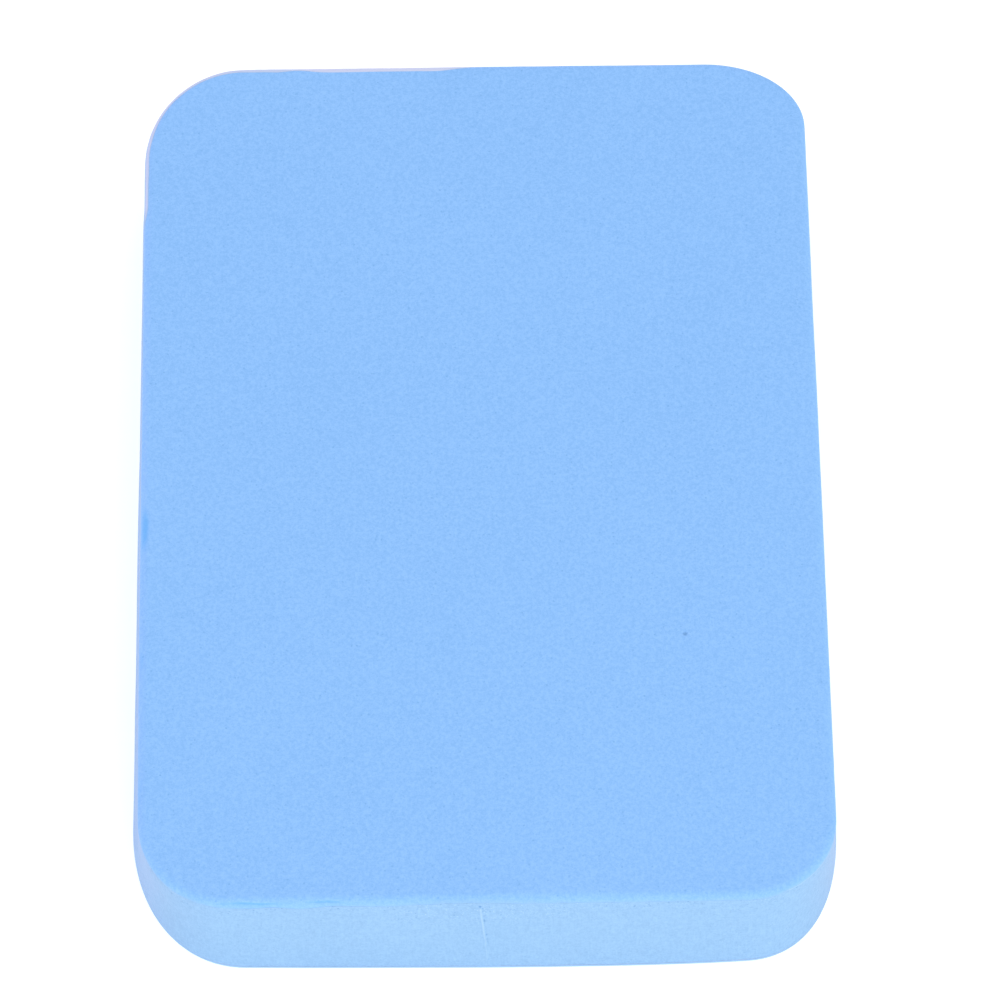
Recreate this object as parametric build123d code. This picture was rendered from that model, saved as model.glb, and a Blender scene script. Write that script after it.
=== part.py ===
from build123d import *
from dataclasses import dataclass
import os

# Foam balance pad for standing, kneeling and balance exercises. It is one block of closed-cell
# foam, die-cut from a sheet whose two faces carry a denser skin. Millimetres, +Z up, the origin
# at the middle of the underside, +Y along the pad's length and +X across it.

os.makedirs("parts", exist_ok=True)

# Driving dimensions. The pad's nominal size is 340 x 240 x 50.
THICKNESS = 50.0          # from the underside to the standing surface
RIM_RADIUS = 3.0          # soft upper rim, where the die drew the skin down as it entered
SKIN = 1.0                # thickness of the dense skin on both faces
SKIN_WRAP = 3.6           # how far below the standing surface the drawn-down skin was cut

QUARTER = 0.5523          # how far a cubic's handles reach to make it a quarter of an ellipse


@dataclass
class Plan:
    """The pad's outline at one height: where its sides lie, and the curves of its corners."""

    left: tuple           # x at its near end and at its far end
    right: float
    near: float
    far: float
    near_bow: tuple       # how far the near side swells out, and how far right of its middle
    corners: tuple        # each corner's reach along X, its reach along Y, and its fullness


# Corners run counter-clockwise: near left, near right, far right, far left. The foam spread as
# the die went through, so the side walls lean out towards the floor, most of all at the near
# end of the left side, and the near corners are wider at the foot than at the rim.
FAR_CORNERS = ((36.0, 27.0, QUARTER), (36.0, 40.5, QUARTER))
RIM_PLAN = Plan(
    left=(-118.85, -118.85),
    right=119.9,
    near=-169.5,
    far=169.5,
    near_bow=(0.0, 0.0),
    corners=((30.0, 33.0, QUARTER), (32.0, 30.5, QUARTER)) + FAR_CORNERS,
)
FOOT_PLAN = Plan(
    left=(-123.1, -121.4),
    right=122.8,
    near=-169.6,
    far=170.6,
    near_bow=(1.3, 20.0),
    corners=((39.5, 54.5, 0.58), (32.5, 51.0, 0.62)) + FAR_CORNERS,
)

# Joint rib: the two ends of the cutting rule met at the middle of the near wall and left an
# uncut rib, which leans a little.
RIB_RADIUS = 0.5          # half its width
RIB_PROUD = 0.25          # how far it stands out of the wall
RIB_FOOT = (0.2, 3.0)     # its lower end: x, height
RIB_HEAD = (-2.4, 44.5)   # its upper end: x, height

SKIN_EDGE_Z = THICKNESS - SKIN_WRAP


def outline(plan, z, inset=0.0):
    """A plan at height z, drawn in by inset, as a face."""
    spots = [
        Vector(plan.left[0] + inset, plan.near + inset, z),
        Vector(plan.right - inset, plan.near + inset, z),
        Vector(plan.right - inset, plan.far - inset, z),
        Vector(plan.left[1] + inset, plan.far - inset, z),
    ]
    sides = []
    for k, spot in enumerate(spots):
        ahead = (spots[(k + 1) % 4] - spot).normalized()
        start = spot + ahead * (plan.corners[k][k % 2] - inset)
        end = spots[(k + 1) % 4] - ahead * (plan.corners[(k + 1) % 4][k % 2] - inset)
        middle = (start + end) * 0.5
        if k == 0:
            swell, shift = plan.near_bow
            middle += Vector(2 * shift, -2 * swell, 0)
        sides.append(Bezier(start, middle, end))
    edges = []
    for k, side in enumerate(sides):
        after = sides[(k + 1) % 4]
        reach_x, reach_y, fullness = plan.corners[(k + 1) % 4]
        reaches = (reach_x - inset, reach_y - inset)
        leave = side % 1 * fullness * reaches[k % 2]
        arrive = after % 0 * fullness * reaches[(k + 1) % 2]
        edges += [side, Bezier(side @ 1, side @ 1 + leave, after @ 0 - arrive, after @ 0)]
    return Face(Wire(edges))


def rounded_block(inset, height, rim):
    """A block with the pad's leaning walls, its upper rim rounded."""
    block = loft([outline(FOOT_PLAN, 0.0, inset), outline(RIM_PLAN, height, inset)], ruled=True)
    return fillet(block.faces().sort_by(Axis.Z)[-1].edges(), rim)


def layer(low, high):
    """A slab of space between two heights, wider than the pad."""
    box = Box(400, 500, high - low, align=(Align.CENTER, Align.CENTER, Align.MIN))
    return Pos(0, 0, low) * box


def wall_y(z):
    """Where the middle of the near wall is at this height."""
    foot, rim = (plan.near - plan.near_bow[0] for plan in (FOOT_PLAN, RIM_PLAN))
    return foot + (rim - foot) * z / THICKNESS


def joint_rib():
    """The rib on the near wall, a rod sunk so that only its outer part shows."""
    sink = RIB_RADIUS - RIB_PROUD
    foot, head = (Vector(x, wall_y(z) + sink, z) for x, z in (RIB_FOOT, RIB_HEAD))
    run = head - foot
    return Plane(origin=foot, z_dir=run) * Cylinder(
        RIB_RADIUS, run.length, align=(Align.CENTER, Align.CENTER, Align.MIN)
    )


pad = rounded_block(0.0, THICKNESS, RIM_RADIUS)

# The upper skin is the shell of the pad's top, down to where the die cut it.
under_skin = rounded_block(SKIN, THICKNESS - SKIN, RIM_RADIUS - SKIN)
top_skin = (pad & layer(SKIN_EDGE_Z, THICKNESS + SKIN)) - under_skin

bottom_skin = pad & layer(0.0, SKIN)

# The core is the rest of the block, with the rib on its near wall.
foam_core = pad - top_skin - bottom_skin + joint_rib()

for node, shape in (
    ("bottom_skin", bottom_skin),
    ("foam_core", foam_core),
    ("top_skin", top_skin),
):
    solid = shape.solid()
    solid.label = node
    export_step(solid, f"parts/{node}.step")
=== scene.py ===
import math

import bmesh
import bpy
import numpy as np
from mathutils import Matrix, Vector


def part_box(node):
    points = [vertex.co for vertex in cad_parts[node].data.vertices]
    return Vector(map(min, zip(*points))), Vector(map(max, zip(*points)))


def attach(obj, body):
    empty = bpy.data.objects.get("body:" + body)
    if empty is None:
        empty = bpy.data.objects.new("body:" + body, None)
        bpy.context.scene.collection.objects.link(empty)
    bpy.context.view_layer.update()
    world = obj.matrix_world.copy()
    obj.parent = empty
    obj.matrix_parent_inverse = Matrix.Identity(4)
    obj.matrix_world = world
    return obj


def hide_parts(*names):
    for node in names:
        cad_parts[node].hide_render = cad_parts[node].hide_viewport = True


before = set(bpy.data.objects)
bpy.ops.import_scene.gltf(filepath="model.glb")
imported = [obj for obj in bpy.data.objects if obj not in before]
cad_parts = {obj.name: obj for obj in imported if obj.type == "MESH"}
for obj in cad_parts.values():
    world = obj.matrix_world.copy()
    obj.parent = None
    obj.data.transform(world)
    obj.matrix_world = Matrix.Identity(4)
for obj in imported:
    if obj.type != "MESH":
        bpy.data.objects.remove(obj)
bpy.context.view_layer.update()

# The looks of a die-cut foam balance pad. Metres, +Z up, +Y along the pad's length; the near
# wall faces -Y. Each of the three CAD nodes is replaced by a detailed closed mesh of its own.

MM = 0.001
UP = np.array([0.0, 0.0, 1.0])

# ---------------------------------------------------------------- driving dimensions

TOP_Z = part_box("top_skin")[1][2]
SKIN_EDGE_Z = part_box("top_skin")[0][2]
HALF_W, HALF_L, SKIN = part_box("bottom_skin")[1]
RIM = 3.0 * MM              # radius of the rounded upper rim
QUARTER = 0.5523            # how far a cubic's handles reach to make it a quarter of an ellipse
# How far the core stays under the skins' inner faces, and the bottom skin's top under its own
# full thickness, so that no two faces coincide.
CORE_GAP, BOTTOM_GAP = 0.03 * MM, 0.02 * MM

# The pad's outline at the rim and at the foot, in millimetres, as the CAD has them. left is x at
# the near and the far end, and near_bow is how far the near side swells out and how far right of
# its middle. Each corner, counter-clockwise from the near left, has its reach along X, its reach
# along Y and its fullness.
FAR_CORNERS = ((36.0, 27.0, QUARTER), (36.0, 40.5, QUARTER))
RIM_PLAN = {
    "left": (-118.85, -118.85),
    "right": 119.9,
    "near": -169.5,
    "far": 169.5,
    "near_bow": (0.0, 0.0),
    "corners": ((30.0, 33.0, QUARTER), (32.0, 30.5, QUARTER)) + FAR_CORNERS,
}
FOOT_PLAN = {
    "left": (-123.1, -121.4),
    "right": 122.8,
    "near": -169.6,
    "far": 170.6,
    "near_bow": (1.3, 20.0),
    "corners": ((39.5, 54.5, 0.58), (32.5, 51.0, 0.62)) + FAR_CORNERS,
}

# Past these, a point belongs to the near wall itself, the near end or the far side of the pad.
NEAR_WALL_Y, NEAR_END_Y, FAR_SIDE_Y = -165.0 * MM, -150.0 * MM, 160.0 * MM

# The joint rib on the near wall: (x, z) of its foot and head, how far its middle bows to the
# right, its ridge and the dotted groove beside it.
RIB_FOOT, RIB_HEAD = (0.2 * MM, 3.0 * MM), (-2.4 * MM, 44.5 * MM)
RIB_BOW = 0.35 * MM
RIDGE_HEIGHT, RIDGE_HALF_WIDTH = 0.27 * MM, 0.42 * MM
GROOVE_DEPTH, GROOVE_HALF_WIDTH, GROOVE_BESIDE = 0.22 * MM, 0.38 * MM, 0.85 * MM

# ---------------------------------------------------------------- noise


def lattice(p, size, seed):
    """Smooth value noise from -1 to 1 at points p (n, 3), with features of this size."""
    q = p / size + 1000.0
    cell = np.floor(q).astype(np.int64)
    f = q - cell
    f = f * f * f * (f * (f * 6 - 15) + 10)
    total = np.zeros(len(p))
    for dx in (0, 1):
        for dy in (0, 1):
            for dz in (0, 1):
                h = (
                    (cell[:, 0] + dx) * 374761393
                    + (cell[:, 1] + dy) * 668265263
                    + (cell[:, 2] + dz) * 2147483647
                    + seed * 1274126177
                ) & 0xFFFFFFFF
                h = ((h ^ (h >> 13)) * 1274126177) & 0xFFFFFFFF
                value = ((h ^ (h >> 16)) & 0xFFFF) / 32767.5 - 1.0
                wx = f[:, 0] if dx else 1 - f[:, 0]
                wy = f[:, 1] if dy else 1 - f[:, 1]
                wz = f[:, 2] if dz else 1 - f[:, 2]
                total += value * wx * wy * wz
    return total


def cloud(p, size, octaves, seed):
    """Sum of octaves of noise, each half the size and half the height of the last."""
    total, height, reach = np.zeros(len(p)), 1.0, 0.0
    for k in range(octaves):
        total += lattice(p, size / 2**k, seed + 17 * k) * height
        reach += height
        height *= 0.5
    return total / reach


def lens(t, low, high):
    """A smooth swell from 0 at low, to 1 midway, to 0 at high."""
    s = np.clip((t - low) / (high - low), 0.0, 1.0)
    return np.sin(math.pi * s) ** 2


def step(t, low, high):
    """A smooth rise from 0 at low to 1 at high."""
    s = np.clip((t - low) / (high - low), 0.0, 1.0)
    return s * s * (3 - 2 * s)


# ---------------------------------------------------------------- the pad's plan


def unit(v):
    return v / np.linalg.norm(v)


def bezier(points, t):
    """A Bezier curve at every t, from its control points."""
    rows, t = list(points), t[:, None]
    while len(rows) > 1:
        rows = [a * (1 - t) + b * t for a, b in zip(rows, rows[1:])]
    return rows[0]


def plan_ring(plan, nx, ny):
    """The plan's outline, counter-clockwise from the middle of the near left corner: nx even
    steps along its near and far sides and ny along the others, in metres."""
    spots = np.array(
        [
            (plan["left"][0], plan["near"]),
            (plan["right"], plan["near"]),
            (plan["right"], plan["far"]),
            (plan["left"][1], plan["far"]),
        ]
    )
    corners = plan["corners"]
    sides = []
    for k in range(4):
        there = (k + 1) % 4
        ahead = unit(spots[there] - spots[k])
        start = spots[k] + ahead * corners[k][k % 2]
        end = spots[there] - ahead * corners[there][k % 2]
        swell, shift = plan["near_bow"] if k == 0 else (0.0, 0.0)
        sides.append((start, (start + end) / 2 + np.array([2 * shift, -2 * swell]), end))
    curves = []
    for k in range(4):
        before, after = sides[k - 1], sides[k]
        fullness = corners[k][2]
        leave = unit(before[2] - before[1]) * fullness * corners[k][(k - 1) % 2]
        arrive = unit(after[1] - after[0]) * fullness * corners[k][k % 2]
        curves.append((before[2], before[2] + leave, after[0] - arrive, after[0]))
    t = np.linspace(0, 1, 240)
    ring = []
    for k, steps in enumerate((nx, ny, nx, ny)):
        path = np.concatenate(
            [bezier(curves[k], 0.5 + t / 2), bezier(sides[k], t), bezier(curves[(k + 1) % 4], t / 2)]
        )
        length = np.concatenate([[0], np.cumsum(np.linalg.norm(np.diff(path, axis=0), axis=1))])
        at = np.linspace(0, length[-1], steps + 1)[:-1]
        ring.append(np.stack([np.interp(at, length, path[:, 0]), np.interp(at, length, path[:, 1])], 1))
    return np.concatenate(ring) * MM


def outward(ring):
    """The outward direction at each point of a counter-clockwise ring."""
    along = np.roll(ring, -1, 0) - np.roll(ring, 1, 0)
    out = np.stack([along[:, 1], -along[:, 0]], 1)
    return out / np.linalg.norm(out, axis=1)[:, None]


NX, NY = 200, 284
COUNT = 2 * (NX + NY)
FOOT_RING, RIM_RING = plan_ring(FOOT_PLAN, NX, NY), plan_ring(RIM_PLAN, NX, NY)
FOOT_OUT, RIM_OUT = outward(FOOT_RING), outward(RIM_RING)


def full(value):
    return np.broadcast_to(value, COUNT)


def ring_at(inset, z):
    """The pad's ring at height z, drawn in by inset, and the outward direction at its points.
    Either may be an array."""
    share = full(z)[:, None] / TOP_Z
    out = FOOT_OUT * (1 - share) + RIM_OUT * share
    xy = FOOT_RING * (1 - share) + RIM_RING * share - out * full(inset)[:, None]
    return np.column_stack([xy, full(z)]), np.column_stack([out, np.zeros(COUNT)])


QUARTER_TURN = RIM * math.pi / 2


def surface(t, under=0.0):
    """The ring t along the pad's profile, from where the rim begins to round, over the rim and
    down the wall, under metres beneath the outer surface. Its points and their lift, the
    direction in which relief moves them."""
    angle = np.minimum(full(t) / RIM, math.pi / 2)
    inset = RIM * (1 - np.sin(angle)) + under * np.sin(angle)
    depth = RIM * (1 - np.cos(angle)) + np.maximum(full(t) - QUARTER_TURN, 0) + under * np.cos(angle)
    points, out = ring_at(inset, TOP_Z - depth)
    return points, out * np.sin(angle)[:, None] + UP * np.cos(angle)[:, None]


def along_profile(z):
    """How far along the profile the outer surface is at height z."""
    depth = TOP_Z - z
    on_rim = RIM * np.arccos(np.clip(1 - depth / RIM, -1, 1))
    return np.where(depth < RIM, on_rim, QUARTER_TURN + depth - RIM)


class Sheet:
    """Collects a strip of rings, one after another, into one closed mesh. Rings run
    counter-clockwise seen from above, and the strip runs from its middle out and back."""

    def __init__(self):
        self.points, self.lifts, self.cuts, self.faces = [], [], [], []
        self.size = 0
        self.last = None

    def add(self, points, lift=None, cut=0.0):
        """Adds points. lift is the way relief moves them; cut is 1 on a cut face."""
        start = self.size
        self.points.append(points)
        self.lifts.append(np.zeros(points.shape) if lift is None else lift)
        self.cuts.append(np.broadcast_to(cut, len(points)))
        self.size += len(points)
        return start

    def ring(self, points, lift=None, cut=0.0):
        ids = self.add(points, lift, cut) + np.arange(COUNT)
        if self.last is not None:
            a, after = self.last, np.roll(np.arange(COUNT), -1)
            self.faces += np.stack([a, ids, ids[after], a[after]], 1).tolist()
        self.last = ids

    def apex(self, point):
        """A single point that the first ring is joined to."""
        self.opening = self.add(np.array([point]))

    def first_ring(self, points):
        ids = self.add(points) + np.arange(COUNT)
        self.faces += [[self.opening, int(a), int(b)] for a, b in zip(ids, np.roll(ids, -1))]
        self.last = ids

    def close(self, point):
        """A single point that the last ring is joined to."""
        at = self.add(np.array([point]))
        self.faces += [[int(a), at, int(b)] for a, b in zip(self.last, np.roll(self.last, -1))]

    def grid(self, ring, lift_z, upward):
        """A full grid inside a ring, its points moved along Z by relief; returns the vertex
        numbers on its edge."""
        i, j = np.meshgrid(np.arange(NX + 1), np.arange(NY + 1), indexing="ij")
        u, v = 2 * i / NX - 1.0, 2 * j / NY - 1.0
        c = np.maximum(np.abs(u), np.abs(v))
        safe = np.where(c == 0, 1.0, c)
        uu, vv = u / safe, v / safe
        t = np.select(
            [vv <= -1 + 1e-9, uu >= 1 - 1e-9, vv >= 1 - 1e-9],
            [(uu + 1) / 2 * NX, NX + (vv + 1) / 2 * NY, NX + NY + (1 - uu) / 2 * NX],
            2 * NX + NY + (1 - vv) / 2 * NY,
        )
        low = np.floor(t + 1e-9).astype(int)
        part = np.clip(t - low, 0, 1)[..., None]
        xy = ring[low % COUNT, :2] * (1 - part) + ring[(low + 1) % COUNT, :2] * part
        xy = (xy * c[..., None]).reshape(-1, 2)
        lift = np.tile(UP * lift_z, (len(xy), 1))
        start = self.add(np.column_stack([xy, np.full(len(xy), ring[0, 2])]), lift)
        ids = start + (i * (NY + 1) + j)
        quads = np.stack([ids[:-1, :-1], ids[1:, :-1], ids[1:, 1:], ids[:-1, 1:]], -1)
        if not upward:
            quads = quads[..., ::-1]
        self.faces += quads.reshape(-1, 4).tolist()
        return np.concatenate([ids[:-1, 0], ids[-1, :-1], ids[:0:-1, -1], ids[0, :0:-1]])

    def mesh(self, name):
        mesh = bpy.data.meshes.new(name)
        mesh.from_pydata(np.concatenate(self.points).tolist(), [], self.faces)
        mesh.attributes.new("lift", "FLOAT_VECTOR", "POINT").data.foreach_set(
            "vector", np.concatenate(self.lifts).ravel().astype(np.float32)
        )
        mark(mesh, "cut", np.concatenate(self.cuts))
        return mesh


def mark(mesh, name, values):
    """Writes one number per vertex, for the materials."""
    layer = mesh.attributes.get(name) or mesh.attributes.new(name, "FLOAT", "POINT")
    layer.data.foreach_set("value", np.asarray(values, dtype=np.float32))


def read(mesh, name, key, width):
    """A vertex attribute as an array."""
    out = np.empty(len(mesh.vertices) * width, dtype=np.float32)
    mesh.attributes[name].data.foreach_get(key, out)
    return out.reshape(-1, width).astype(float)


def refine(mesh, wanted, cuts):
    """Subdivides the faces whose middle satisfies wanted((n, 3) array)."""
    bm = bmesh.new()
    bm.from_mesh(mesh)
    bm.faces.ensure_lookup_table()
    mids = np.array([f.calc_center_median() for f in bm.faces])
    edges = {e for i in np.nonzero(wanted(mids))[0] for e in bm.faces[i].edges}
    bmesh.ops.subdivide_edges(bm, edges=list(edges), cuts=cuts, use_grid_fill=True)
    bmesh.ops.triangulate(bm, faces=[f for f in bm.faces if len(f.verts) > 4])
    bm.to_mesh(mesh)
    bm.free()


def shape(mesh, relief):
    """Moves the mesh's points along their lift by relief(points, lift), in metres."""
    lift, p = read(mesh, "lift", "vector", 3), read(mesh, "position", "vector", 3)
    p = p + lift * relief(p, lift)[:, None]
    mesh.vertices.foreach_set("co", p.astype(np.float32).ravel())
    mesh.attributes.remove(mesh.attributes["lift"])
    mesh.update()


def smooth_object(mesh):
    obj = bpy.data.objects.new(mesh.name, mesh)
    bpy.context.scene.collection.objects.link(obj)
    mesh.polygons.foreach_set("use_smooth", [True] * len(mesh.polygons))
    return obj


# ---------------------------------------------------------------- marks on the pad

# Pits in the standing surface, in millimetres: x, y, radius, depth, length over width.
PITS = [
    (70.3, -67.4, 0.85, 0.55, 1.2),
    (71.4, 70.6, 0.6, 0.22, 1.0),
    (69.4, 51.7, 0.5, 0.15, 1.0),
    (108.5, 107.5, 0.6, 0.2, 1.0),
    (7.5, 154.1, 0.6, 0.16, 1.4),
    (-33.5, 135.2, 0.5, 0.12, 1.0),
    (-95.6, 112.3, 0.6, 0.14, 1.0),
    (-59.6, -120.8, 0.8, 0.18, 1.3),
    (-107.0, -143.9, 0.9, 0.16, 1.3),
    (20.9, -139.9, 0.5, 0.2, 2.4),
    (-78.3, -28.4, 0.5, 0.12, 2.2),
    (-1.0, -40.4, 0.5, 0.1, 1.0),
    (-6.1, -80.5, 0.45, 0.12, 1.0),
]
# Creases where the die pinched the skin on the rim, in millimetres: side, from, to, depth, how far
# down the profile they run, and their half width.
CREASES = [
    ("near", -98.0, -62.0, 0.28, 3.1, 0.5),
    ("near", -99.0, -56.0, 0.16, 4.3, 1.1),
    ("near", -66.0, -44.0, 0.26, 2.8, 0.5),
    ("near", -66.0, -30.0, 0.11, 4.0, 1.1),
    ("left", -37.0, -9.0, 0.42, 2.0, 1.7),
    ("left", -30.0, 60.0, 0.12, 3.2, 0.9),
    ("left", -84.0, -66.0, 0.18, 2.4, 1.2),
    ("left", -140.0, -112.0, 0.14, 2.4, 1.2),
]
# Where the skin's cut edge on the near wall runs higher or lower: from, to, rise in millimetres.
EDGE_WAVES = [
    (-100.0, -66.0, -1.5),
    (-77.0, -50.0, -2.0),
    (-53.0, -20.0, -0.8),
    (-25.0, 14.0, 0.75),
]


def facing_near(out):
    """1 where the wall faces the near side, fading to 0 round the near corners."""
    return step(-out[:, 1] / np.hypot(out[:, 0], out[:, 1]), 0.6, 0.95)


def bare_rim_and_highlight_at(p):
    """Where the die tore the skin off the rim: most of it on a stretch of the far side, and a
    narrow edge of it round the far left corner. The same masks paint a pale lavender highlight onto
    the top of the far rim. Each from 0 to 1."""
    x, y = p[:, 0] / MM, p[:, 1] / MM
    stretch = (p[:, 1] > FAR_SIDE_Y) * step(x, -66, -58) * (1 - step(x, -14, 15))
    corner = (y > 0) * step(y - x, 216, 230) * (1 - stretch)
    return stretch, corner


def edge_height():
    """The height of the top skin's cut edge, all round."""
    points, out = ring_at(0.0, SKIN_EDGE_Z)
    z = SKIN_EDGE_Z + 0.15 * MM + 0.25 * MM * cloud(points, 15 * MM, 4, 51)
    z += 0.18 * MM * lattice(points, 2.6 * MM, 57)
    near = facing_near(out)
    z += near * 0.75 * MM
    for low, high, rise in EDGE_WAVES:
        z += near * lens(points[:, 0], low * MM, high * MM) * rise * MM
    return z


def broad(p):
    """Slow unevenness of the whole block, in metres."""
    return 0.22 * MM * cloud(p, 70 * MM, 3, 3)


def skin_relief(p):
    """Height of the skin's own texture, in metres."""
    return 0.035 * MM * cloud(p, 9 * MM, 3, 5) + 0.018 * MM * lattice(p, 2.6 * MM, 9)


def torn_at(p):
    """How torn the near wall is, from 0 to 1: most of all high up in its middle."""
    middle = step(p[:, 0], -46 * MM, -26 * MM) * (1 - step(p[:, 0], 14 * MM, 44 * MM))
    middle *= step(p[:, 2], 27 * MM, 40 * MM)
    edge = 0.75 * step(p[:, 2], 39 * MM, 45 * MM)
    return np.maximum(middle, edge) * (p[:, 1] < NEAR_END_Y)


def off_edge(p, reach):
    """0 at the skin's cut edge on the near wall, rising to 1 at this reach from it."""
    edge = np.interp(p[:, 0], EDGE_RING[:NX, 0], EDGE_TOP[:NX])
    return np.maximum(step(np.abs(edge - p[:, 2]), 0, reach), p[:, 1] > NEAR_END_Y)


def cut_relief(p):
    """Height of the cut wall's texture, in metres: coarser where it is torn."""
    base = 0.05 * MM * cloud(p, 7 * MM, 3, 21) + 0.03 * MM * lattice(p, 1.9 * MM, 25)
    crumbly = lattice(p, 1.2 * MM, 31) + 0.6 * lattice(p, 2.4 * MM, 33)
    torn = torn_at(p) * off_edge(p, 1.5 * MM) * 0.21 * MM * crumbly
    return base * off_edge(p, 0.8 * MM) + torn


def crease_at(p):
    """How far the skin is pinched in along its creases, in millimetres."""
    total = np.zeros(len(p))
    wander = 1.0 * lattice(p, 11 * MM, 41) + 0.25 * lattice(p, 3 * MM, 43)
    for side, low, high, depth, down, half_width in CREASES:
        if side == "near":
            along, inland = p[:, 0], p[:, 1] - RIM_PLAN["near"] * MM
        else:
            along, inland = p[:, 1], p[:, 0] - RIM_PLAN["left"][0] * MM
        run = (along_profile(p[:, 2]) - np.maximum(inland - RIM, 0)) / MM
        across = np.exp(-(((run - down - wander) / half_width) ** 2))
        total += depth * lens(along, low * MM, high * MM) * across * (inland < 3 * RIM)
    return total


def pit_at(p):
    """Depth of the pits at points on top, in metres, and how far inside a pit they are."""
    depth, inside = np.zeros(len(p)), np.zeros(len(p))
    for x, y, radius, deep, stretch in PITS:
        dx, dy = (p[:, 0] / MM - x) / (radius * stretch), (p[:, 1] / MM - y) / radius
        d = dx * dx + dy * dy
        depth += deep * MM * np.exp(-1.6 * d)
        inside = np.maximum(inside, min(deep / 0.5, 1.0) * np.exp(-1.3 * d))
    return depth, inside


def near_pits(mids):
    close = np.zeros(len(mids), bool)
    for x, y, radius, _, stretch in PITS:
        reach = (radius * stretch * 1.6 + 1.2) * MM
        close |= np.hypot(mids[:, 0] - x * MM, mids[:, 1] - y * MM) < reach
    return close & (mids[:, 2] > TOP_Z - 0.4 * SKIN)


def from_rib(p):
    """How far along the joint rib each point is, from 0 at its foot to 1, and how far beside it."""
    (x0, z0), (x1, z1) = RIB_FOOT, RIB_HEAD
    t = (p[:, 2] - z0) / (z1 - z0)
    bow = 4 * RIB_BOW * t * (1 - t)
    return t, p[:, 0] - (x0 + (x1 - x0) * t + bow)


def near_rib(mids):
    _, beside = from_rib(mids)
    return (np.abs(beside) < 2.6 * MM) & (mids[:, 1] < NEAR_WALL_Y) & (mids[:, 2] > 1.5 * MM)


def near_torn(mids):
    on_wall = (mids[:, 1] < NEAR_WALL_Y) & (mids[:, 2] < TOP_Z - 1.6 * MM)
    return on_wall & (torn_at(mids) > 0.5) & ~near_rib(mids)


def rib_at(p):
    """Height of the joint rib at points on the near wall, in metres, and masks of its ridge and
    of the dotted groove to the right of it, which ends in the pit at the rib's head."""
    t, beside = from_rib(p)
    beside = beside - 0.25 * MM * lattice(p, 9 * MM, 61)
    on_wall = p[:, 1] < NEAR_WALL_Y
    run = step(t, -0.02, 0.12) * (1 - step(t, 0.97, 1.03)) * (0.5 + 0.5 * step(t, 0.25, 0.75))
    above_head = p[:, 2] - RIB_HEAD[1] - 0.6 * MM
    pit = on_wall * np.exp(-((beside / (0.5 * MM)) ** 2) - (above_head / (0.7 * MM)) ** 2)
    ridge = on_wall * run * (1 - pit) * np.exp(-((beside / RIDGE_HALF_WIDTH) ** 2))
    dots = (0.5 + 0.5 * lattice(p, 1.5 * MM, 67)) * (1 - step(t, 0.86, 0.94))
    groove = on_wall * run * dots * np.exp(-(((beside - GROOVE_BESIDE) / GROOVE_HALF_WIDTH) ** 2))
    groove = np.maximum(groove, pit)
    return RIDGE_HEIGHT * ridge - GROOVE_DEPTH * groove, ridge, groove


# ---------------------------------------------------------------- meshes

# Where rings lie: on a flat face, from its edge inwards; along the top skin's profile down to its
# cut edge; and down the core's wall, closer together near the skin's edge.
SHARES = (0.85, 0.65, 0.42, 0.2)
SKIN_SHARES = tuple(k / 19 for k in range(1, 19)) + (0.985,)
WALL_SHARES = np.linspace(0, 1, 56)[:-1] ** 1.15

# The top skin's cut edge, all round: its points as the CAD has them, and how far along the
# profile it is. Where the skin was torn off, it ends high up on the rim, and it reaches a little
# further out between the bare stretch and the bare corner.
EDGE_RING, EDGE_OUT = ring_at(0.0, SKIN_EDGE_Z)
STRETCH, CORNER = bare_rim_and_highlight_at(EDGE_RING)
BARE = STRETCH + CORNER
RAGGED = lattice(EDGE_RING, 7 * MM, 53)
BARE_T = (
    STRETCH * (0.16 * MM + 0.10 * MM * RAGGED)
    + CORNER * (0.45 * MM - 1.3 * MM * EDGE_OUT[:, 0] + 0.15 * MM * RAGGED)
    + BARE * 0.9 * MM * lens(EDGE_RING[:, 0], -72 * MM, -54 * MM)
)
EDGE_T = along_profile(edge_height()) * (1 - BARE) + BARE_T
EDGE_TOP = surface(EDGE_T)[0][:, 2]
# Where the skin's edge on the near wall is worn soft.
WORN = facing_near(EDGE_OUT) * lens(EDGE_RING[:, 0], -48 * MM, 42 * MM)

# The bottom skin's cut edge, from its top down: how far it is drawn in, in millimetres, its
# height as a share of the skin, and how cut it looks.
BOTTOM_EDGE = ((0.04, 0.86, 1.0), (0.0, 0.7, 1.0), (0.0, 0.35, 1.0), (0.06, 0.12, 1.0), (0.25, 0.0, 0.4))


def scaled(points, share):
    out = points.copy()
    out[:, :2] *= share
    return out


def edge_pallor_and_highlight():
    """How pale the skin's cut edge is, all round: most of all at the near right corner, where the
    extra is a painted highlight, and least along the creases, where the edge is left in painted shade."""
    # painted highlight at the near right corner, painted shade along the creases
    corner = step(EDGE_OUT[:, 0], 0.15, 0.6) * step(-EDGE_OUT[:, 1], 0.1, 0.5)
    ragged = 0.65 + 0.35 * lattice(EDGE_RING, 2.5 * MM, 55)
    creased = facing_near(EDGE_OUT) * lens(EDGE_RING[:, 0], -110 * MM, -30 * MM)
    return np.clip(0.8 * ragged * (1 - 0.8 * creased) + 0.6 * corner + 0.15 * WORN, 0, 1)


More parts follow.
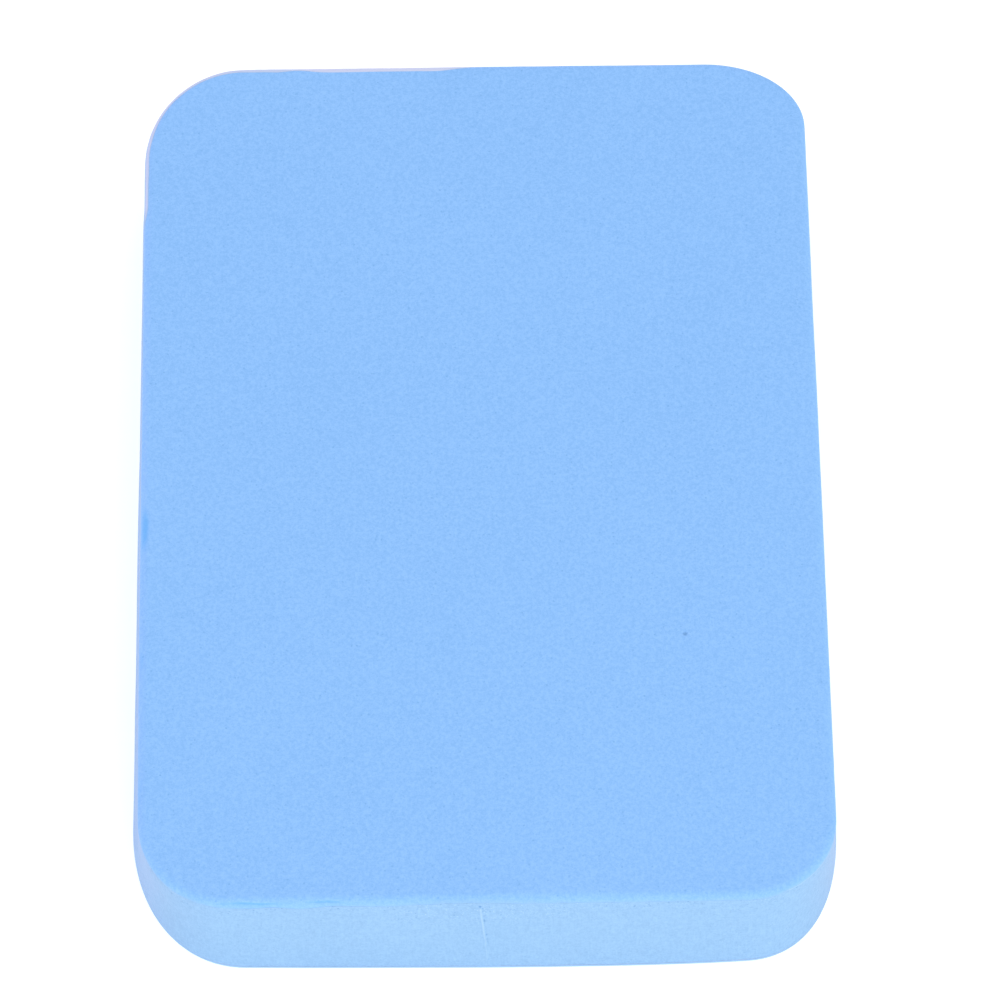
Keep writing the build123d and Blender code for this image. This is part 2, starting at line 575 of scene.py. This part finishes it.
def make_top_skin():
    sheet = Sheet()
    flat, _ = surface(0.0)
    sheet.last = sheet.grid(flat, 1.0, upward=True)
    # the skin pales towards its cut edge, from further off where it is worn; at the near right corner the
    # paleness is a painted highlight
    edge_pale_and_highlight = edge_pallor_and_highlight()
    for share in SKIN_SHARES:
        sheet.ring(*surface(share * EDGE_T), cut=edge_pale_and_highlight * step(share, 0.62 - 0.22 * WORN, 1.0))
    # the cut edge itself, a little rounded
    points, lift = surface(EDGE_T, under=0.06 * MM)
    sheet.ring(points, lift, cut=edge_pale_and_highlight)
    sheet.ring(surface(EDGE_T, under=SKIN)[0], cut=0.8)
    for share in (0.75, 0.5, 0.25, 0.0):
        sheet.ring(surface(share * EDGE_T, under=SKIN)[0])
    inner, _ = surface(0.0, under=SKIN)
    for share in SHARES:
        sheet.ring(scaled(inner, share))
    sheet.close((0, 0, TOP_Z - SKIN))
    mesh = sheet.mesh("pad_top_skin")
    refine(mesh, near_pits, 3)

    def relief(p, lift):
        pinch = crease_at(p)
        deep, inside = pit_at(p)
        on_top = step(lift[:, 2], 0.5, 0.9)
        mark(mesh, "pinch", pinch)
        # the pit mask is used only to paint shade into the pits
        mark(mesh, "pit", inside * on_top)
        outer = np.linalg.norm(lift, axis=1)
        return broad(p) + skin_relief(p) * off_edge(p, 0.8 * MM) - deep * on_top - pinch * outer * MM

    shape(mesh, relief)
    return smooth_object(mesh)


def make_core():
    sheet = Sheet()
    cap, _ = surface(0.0, under=SKIN + CORE_GAP)
    sheet.apex((0, 0, cap[0, 2]))
    sheet.first_ring(scaled(cap, SHARES[-1]))
    for share in SHARES[-2::-1]:
        sheet.ring(scaled(cap, share))
    # under the skin to its cut edge, then out to the wall's face
    for share in (0.0, 0.3, 0.6, 1.0):
        sheet.ring(surface(share * EDGE_T, under=SKIN + CORE_GAP)[0])
    creased = facing_near(EDGE_OUT) * lens(EDGE_RING[:, 0], -104 * MM, -26 * MM)
    lip = 0.02 * MM + 0.16 * MM * creased
    start = EDGE_T + lip
    points, lift = surface(EDGE_T + 0.4 * lip, under=lip)
    sheet.ring(points, lift)
    z_low = SKIN + CORE_GAP
    finish = along_profile(z_low)
    for share in WALL_SHARES:
        sheet.ring(*surface(start + share * (finish - start)))
    base, lift = surface(finish, under=0.12 * MM)
    sheet.ring(base, lift)
    for share in SHARES:
        sheet.ring(scaled(base, share))
    sheet.close((0, 0, z_low))
    mesh = sheet.mesh("pad_foam_core")
    refine(mesh, near_rib, 3)
    refine(mesh, near_torn, 1)

    def relief(p, lift):
        fade = step(p[:, 2], SKIN, SKIN + 1.5 * MM)
        rib, ridge, groove = rib_at(p)
        # the ridge and groove masks also paint a highlight and shade into the wall's colour
        mark(mesh, "ridge", ridge)
        mark(mesh, "groove", groove)
        mark(mesh, "torn", torn_at(p))
        # only the top of the bare rim gets the painted pale lavender highlight
        stretch, corner = bare_rim_and_highlight_at(p)
        mark(mesh, "far_rim_highlight", (stretch + 0.75 * corner) * step(p[:, 2], 47.4 * MM, 48.8 * MM))
        # the springy middle of the wall stays a little hollow after cutting
        hollow = -0.35 * MM * np.sin(math.pi * np.clip(p[:, 2] / TOP_Z, 0, 1)) ** 2
        return broad(p) + cut_relief(p) * fade + hollow + rib

    shape(mesh, relief)
    return smooth_object(mesh)


def make_bottom_skin():
    sheet = Sheet()
    z_top = SKIN - BOTTOM_GAP
    drawn_in = BOTTOM_EDGE[-1][0] * MM
    top, _ = ring_at(drawn_in, z_top)
    sheet.apex((0, 0, z_top))
    sheet.first_ring(scaled(top, SHARES[-1]))
    for share in SHARES[-2::-1]:
        sheet.ring(scaled(top, share))
    sheet.ring(top)
    for inset, share, cut in BOTTOM_EDGE:
        points, out = ring_at(inset * MM, share * SKIN)
        sheet.ring(points, out, cut=cut)
    foot, _ = ring_at(drawn_in, 0.0)
    sheet.grid(foot, 0.0, upward=False)
    mesh = sheet.mesh("pad_bottom_skin")
    # the grid's edge stands on the last ring, so the two are merged
    bm = bmesh.new()
    bm.from_mesh(mesh)
    bmesh.ops.remove_doubles(bm, verts=bm.verts, dist=1e-6)
    bm.to_mesh(mesh)
    bm.free()
    shape(mesh, lambda p, lift: broad(p))
    # away from its edge, the underside stands a little off the floor, unevenly
    p = read(mesh, "position", "vector", 3)
    inland = step(HALF_W - np.abs(p[:, 0]), 3 * MM, 9 * MM) * step(HALF_L - np.abs(p[:, 1]), 3 * MM, 9 * MM)
    under = (p[:, 2] < 0.01 * MM) * inland
    p[:, 2] += under * (0.09 * MM + 0.06 * MM * cloud(p, 12 * MM, 3, 71))
    mesh.vertices.foreach_set("co", p.astype(np.float32).ravel())
    mesh.update()
    return smooth_object(mesh)


# ---------------------------------------------------------------- materials


class Nodes:
    """Short names for building a material's node tree."""

    def __init__(self, name):
        self.material = bpy.data.materials.new(name)
        self.material.use_nodes = True
        self.tree = self.material.node_tree
        self.shader = self.tree.nodes["Principled BSDF"]
        self.place = self.tree.nodes.new("ShaderNodeTexCoord").outputs["Object"]

    def link(self, a, b):
        self.tree.links.new(a, b)

    def stretched(self, z_share):
        """The place, with everything drawn out along Z."""
        n = self.tree.nodes.new("ShaderNodeVectorMath")
        n.operation = "MULTIPLY"
        self.link(self.place, n.inputs[0])
        n.inputs[1].default_value = (1.0, 1.0, z_share)
        return n.outputs[0]

    def noise(self, size, detail=2.0, rough=0.5, place=None):
        n = self.tree.nodes.new("ShaderNodeTexNoise")
        n.inputs["Scale"].default_value = 1.0 / size
        n.inputs["Detail"].default_value = detail
        n.inputs["Roughness"].default_value = rough
        self.link(place or self.place, n.inputs["Vector"])
        return n.outputs["Fac"]

    def cells(self, size, share, core, rim):
        """Round spots, one in each of a share of the cells of this size: from 1 within core of
        a cell's point to 0 at rim of it, both in cell sizes."""
        n = self.tree.nodes.new("ShaderNodeTexVoronoi")
        n.inputs["Scale"].default_value = 1.0 / size
        self.link(self.place, n.inputs["Vector"])
        chosen = self.span(n.outputs["Color"], 1 - share, 1 - share * 0.6)
        return self.math("MULTIPLY", chosen, self.span(n.outputs["Distance"], rim, core))

    def attribute(self, name):
        n = self.tree.nodes.new("ShaderNodeAttribute")
        n.attribute_name = name
        return n.outputs["Fac"]

    def math(self, op, a, b):
        n = self.tree.nodes.new("ShaderNodeMath")
        n.operation = op
        for k, value in enumerate((a, b)):
            if isinstance(value, (int, float)):
                n.inputs[k].default_value = value
            else:
                self.link(value, n.inputs[k])
        return n.outputs[0]

    def blend(self, *parts):
        """The sum of (share, value) pairs."""
        total = None
        for share, value in parts:
            term = self.math("MULTIPLY", value, share)
            total = term if total is None else self.math("ADD", total, term)
        return total

    def span(self, value, low, high, to_low=0.0, to_high=1.0):
        n = self.tree.nodes.new("ShaderNodeMapRange")
        n.interpolation_type = "SMOOTHSTEP"
        if low > high:
            low, high, to_low, to_high = high, low, to_high, to_low
        self.link(value, n.inputs["Value"])
        for key, number in (
            ("From Min", low),
            ("From Max", high),
            ("To Min", to_low),
            ("To Max", to_high),
        ):
            n.inputs[key].default_value = number
        return n.outputs["Result"]

    def mix(self, share, a, b):
        n = self.tree.nodes.new("ShaderNodeMix")
        n.data_type = "RGBA"
        share_socket = next(s for s in n.inputs if s.name == "Factor" and s.type == "VALUE")
        sockets = [share_socket] + [s for s in n.inputs if s.type == "RGBA"]
        for socket, value in zip(sockets, (share, a, b)):
            if isinstance(value, tuple):
                socket.default_value = (*value, 1.0)
            else:
                self.link(value, socket)
        return next(s for s in n.outputs if s.type == "RGBA")

    def bump(self, height, distance, strength, over=None):
        n = self.tree.nodes.new("ShaderNodeBump")
        n.inputs["Distance"].default_value = distance
        n.inputs["Strength"].default_value = strength
        self.link(height, n.inputs["Height"])
        if over is not None:
            self.link(over, n.inputs["Normal"])
        return n.outputs["Normal"]


# Linear colours: the skin, with painted shade for its pores, creases and pits, then the cut foam, with
# painted shade for its hollows and groove, then its crumbs, whose colour also paints highlights, and the
# painted highlight on the far rim.
SKIN_BLUE = (0.221, 0.462, 0.862)
SKIN_PALE = (0.281, 0.534, 0.955)
SKIN_CREASE_SHADE = (0.075, 0.382, 0.840)
PORE_SHADE = (0.150, 0.370, 0.720)
PIT_SHADE = (0.150, 0.330, 0.620)
CUT_BLUE = (0.247, 0.438, 0.692)
CUT_PALE = (0.315, 0.528, 0.782)
CUT_SHADE = (0.130, 0.300, 0.580)
CRUMB_AND_HIGHLIGHT = (0.430, 0.640, 0.900)
FAR_RIM_HIGHLIGHT = (0.600, 0.640, 0.840)


def skin_material(name):
    """The dense skin: finely grained, with a rare closed pore."""
    m = Nodes(name)
    grain = m.noise(0.5 * MM, 2.0, 0.6)
    mottle = m.noise(4.5 * MM, 3.0, 0.7)
    drift = m.noise(60 * MM, 2.0)
    tone = m.blend((0.38, grain), (0.50, m.noise(1.2 * MM, 2.0, 0.7)), (0.07, mottle), (0.05, drift))
    colour = m.mix(m.span(tone, 0.36, 0.64), SKIN_BLUE, SKIN_PALE)
    pores = m.cells(1.5 * MM, 0.30, 0.12, 0.32)
    # painted shade in the closed pores, which the bump below dents into the skin
    colour = m.mix(m.math("MULTIPLY", pores, 0.5), colour, PORE_SHADE)
    # painted shade in the creases, darker the deeper the skin is pinched
    colour = m.mix(m.span(m.attribute("pinch"), 0.02, 0.42, 0.0, 0.55), colour, SKIN_CREASE_SHADE)
    # painted shade inside the pits
    colour = m.mix(m.span(m.attribute("pit"), 0.10, 0.90, 0.0, 0.80), colour, PIT_SHADE)
    cut = m.mix(grain, CUT_BLUE, CUT_PALE)
    colour = m.mix(m.attribute("cut"), colour, cut)
    # where the cut value nears 1 the colour turns to the crumb colour: a painted highlight along the top
    # skin's cut edge, strongest at the near right corner; the bottom skin's cut edge takes it too
    colour = m.mix(m.span(m.attribute("cut"), 0.80, 1.0, 0.0, 0.7), colour, CRUMB_AND_HIGHLIGHT)
    m.link(colour, m.shader.inputs["Base Color"])
    m.link(m.span(mottle, 0.3, 0.7, 0.72, 0.84), m.shader.inputs["Roughness"])
    m.shader.inputs["Specular IOR Level"].default_value = 0.3
    fine = m.bump(grain, 0.07 * MM, 0.7)
    soft = m.bump(m.noise(1.6 * MM, 2.0), 0.07 * MM, 0.5, fine)
    m.link(m.bump(pores, -0.06 * MM, 0.6, soft), m.shader.inputs["Normal"])
    return m.material


def cut_material(name):
    """The cut walls: paler and coarser, streaked the way the die went, crumbly where torn."""
    m = Nodes(name)
    grain = m.noise(0.55 * MM, 3.0, 0.65)
    streak = m.noise(0.7 * MM, 2.0, 0.5, m.stretched(0.22))
    blotch = m.noise(3.2 * MM, 4.0, 0.65)
    medium = m.noise(1.3 * MM, 2.0, 0.7)
    patches = m.blend((0.19, blotch), (0.07, m.noise(40 * MM, 2.0)))
    tone = m.math("ADD", patches, m.blend((0.28, grain), (0.28, medium), (0.18, streak)))
    colour = m.mix(m.span(tone, 0.36, 0.64), CUT_BLUE, CUT_PALE)
    # sliced cells leave small hollows, darkened with painted shade, more where torn, and crumbs stand on
    # the torn foam
    holes = m.cells(1.2 * MM, 0.32, 0.10, 0.40)
    torn = m.attribute("torn")
    deep = m.math("MULTIPLY", holes, m.math("ADD", m.math("MULTIPLY", torn, 0.6), 0.2))
    colour = m.mix(deep, colour, CUT_SHADE)
    crumbs = m.math("MULTIPLY", m.cells(0.8 * MM, 0.35, 0.12, 0.40), m.math("MULTIPLY", torn, 0.7))
    colour = m.mix(crumbs, colour, CRUMB_AND_HIGHLIGHT)
    # painted highlight along the rib's ridge, and painted shade in the dotted groove beside it
    colour = m.mix(m.span(m.attribute("ridge"), 0.2, 0.9, 0.0, 0.5), colour, CRUMB_AND_HIGHLIGHT)
    colour = m.mix(m.span(m.attribute("groove"), 0.15, 0.9, 0.0, 0.8), colour, CUT_SHADE)
    # painted highlight: the top of the far rim and far left corner turn pale lavender
    colour = m.mix(m.math("MULTIPLY", m.attribute("far_rim_highlight"), 0.9), colour, FAR_RIM_HIGHLIGHT)
    m.link(colour, m.shader.inputs["Base Color"])
    m.link(m.span(blotch, 0.3, 0.7, 0.82, 0.94), m.shader.inputs["Roughness"])
    m.shader.inputs["Specular IOR Level"].default_value = 0.22
    m.shader.inputs["Sheen Weight"].default_value = 0.2
    m.shader.inputs["Sheen Roughness"].default_value = 0.25
    m.shader.inputs["Sheen Tint"].default_value = (1.0, 0.8, 1.0, 1.0)
    fine = m.bump(grain, 0.09 * MM, 0.8)
    soft = m.bump(m.blend((0.6, blotch), (0.4, streak)), 0.12 * MM, 0.6, fine)
    m.link(m.bump(holes, -0.12 * MM, 0.7, soft), m.shader.inputs["Normal"])
    return m.material


# ---------------------------------------------------------------- the pad

top_skin = make_top_skin()
foam_core = make_core()
bottom_skin = make_bottom_skin()

top_skin.data.materials.append(skin_material("foam_skin_top"))
foam_core.data.materials.append(cut_material("foam_cut_wall"))
bottom_skin.data.materials.append(skin_material("foam_skin_bottom"))

for piece, node, slot in (
    (top_skin, "top_skin", "foam_skin"),
    (foam_core, "foam_core", "foam_cut"),
    (bottom_skin, "bottom_skin", "foam_skin"),
):
    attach(piece, "root")
    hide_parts(node)

# ---------------------------------------------------------------- floor, light and camera

FLOOR_SPAN, FLOOR_Z = 12.0, -0.1 * MM

# The camera's angles in degrees, its distance from the point it looks at, and its lens.
AZIMUTH, ELEVATION, ROLL = -1.26, 60.35, 0.36
DISTANCE = 2.4023
AIM = Vector((7.78 * MM, 14.91 * MM, 0.0))
LENS, SENSOR = 240.46, 36.0


def make_floor():
    """A white light table: it glows a little, so the pad's soft shadow stays faint."""
    corners = [(-1, -1), (1, -1), (1, 1), (-1, 1)]
    mesh = bpy.data.meshes.new("floor")
    mesh.from_pydata([(FLOOR_SPAN * x, FLOOR_SPAN * y, FLOOR_Z) for x, y in corners], [], [(0, 1, 2, 3)])
    paper = Nodes("floor_paper")
    paper.shader.inputs["Base Color"].default_value = (0.96, 0.96, 0.96, 1.0)
    paper.shader.inputs["Roughness"].default_value = 0.9
    paper.shader.inputs["Specular IOR Level"].default_value = 0.1
    paper.shader.inputs["Emission Color"].default_value = (1.0, 1.0, 1.0, 1.0)
    paper.shader.inputs["Emission Strength"].default_value = 0.26
    mesh.materials.append(paper.material)
    floor = bpy.data.objects.new("floor", mesh)
    scene.collection.objects.link(floor)


def make_world():
    """Even white light from all round."""
    world = bpy.data.worlds.new("studio")
    world.use_nodes = True
    background = world.node_tree.nodes["Background"]
    background.inputs["Color"].default_value = (1.0, 1.0, 1.0, 1.0)
    background.inputs["Strength"].default_value = 1.0
    scene.world = world


def lamp(name, place, size, watts, colour):
    """A soft rectangular lamp aimed at the pad, which no camera sees."""
    light = bpy.data.lights.new(name, "AREA")
    light.shape = "RECTANGLE"
    light.size, light.size_y = size
    light.energy = watts
    light.color = colour
    obj = bpy.data.objects.new(name, light)
    scene.collection.objects.link(obj)
    obj.location = place
    aim = Vector((0, 0, 20 * MM)) - Vector(place)
    obj.rotation_euler = aim.to_track_quat("-Z", "Y").to_euler()
    obj.visible_camera = False


def make_camera():
    az, el, roll = (math.radians(a) for a in (AZIMUTH, ELEVATION, ROLL))
    back = Vector((math.sin(az) * math.cos(el), -math.cos(az) * math.cos(el), math.sin(el)))
    level = Vector((math.cos(az), math.sin(az), 0.0))
    upright = back.cross(level)
    right = math.cos(roll) * level + math.sin(roll) * upright
    up = math.cos(roll) * upright - math.sin(roll) * level
    data = bpy.data.cameras.new("camera")
    data.lens = LENS
    data.sensor_width = SENSOR
    data.clip_end = 50.0
    camera = bpy.data.objects.new("camera", data)
    scene.collection.objects.link(camera)
    turn = Matrix((right, up, back)).transposed().to_4x4()
    camera.matrix_world = Matrix.Translation(AIM + back * DISTANCE) @ turn
    scene.camera = camera


scene = bpy.context.scene
make_floor()
make_world()
lamp("front_softbox", (0.55, -1.85, 1.05), (1.3, 1.3), 10.0, (1.0, 1.0, 1.0))
lamp("left_glow", (-1.30, 1.38, 0.12), (0.8, 0.2), 3.5, (1.0, 0.15, 0.9))
lamp("left_fill", (-1.90, -0.60, 0.25), (0.6, 0.6), 0.9, (0.1, 0.0, 1.0))
make_camera()
scene.view_settings.view_transform = "Standard"
scene.view_settings.look = "None"
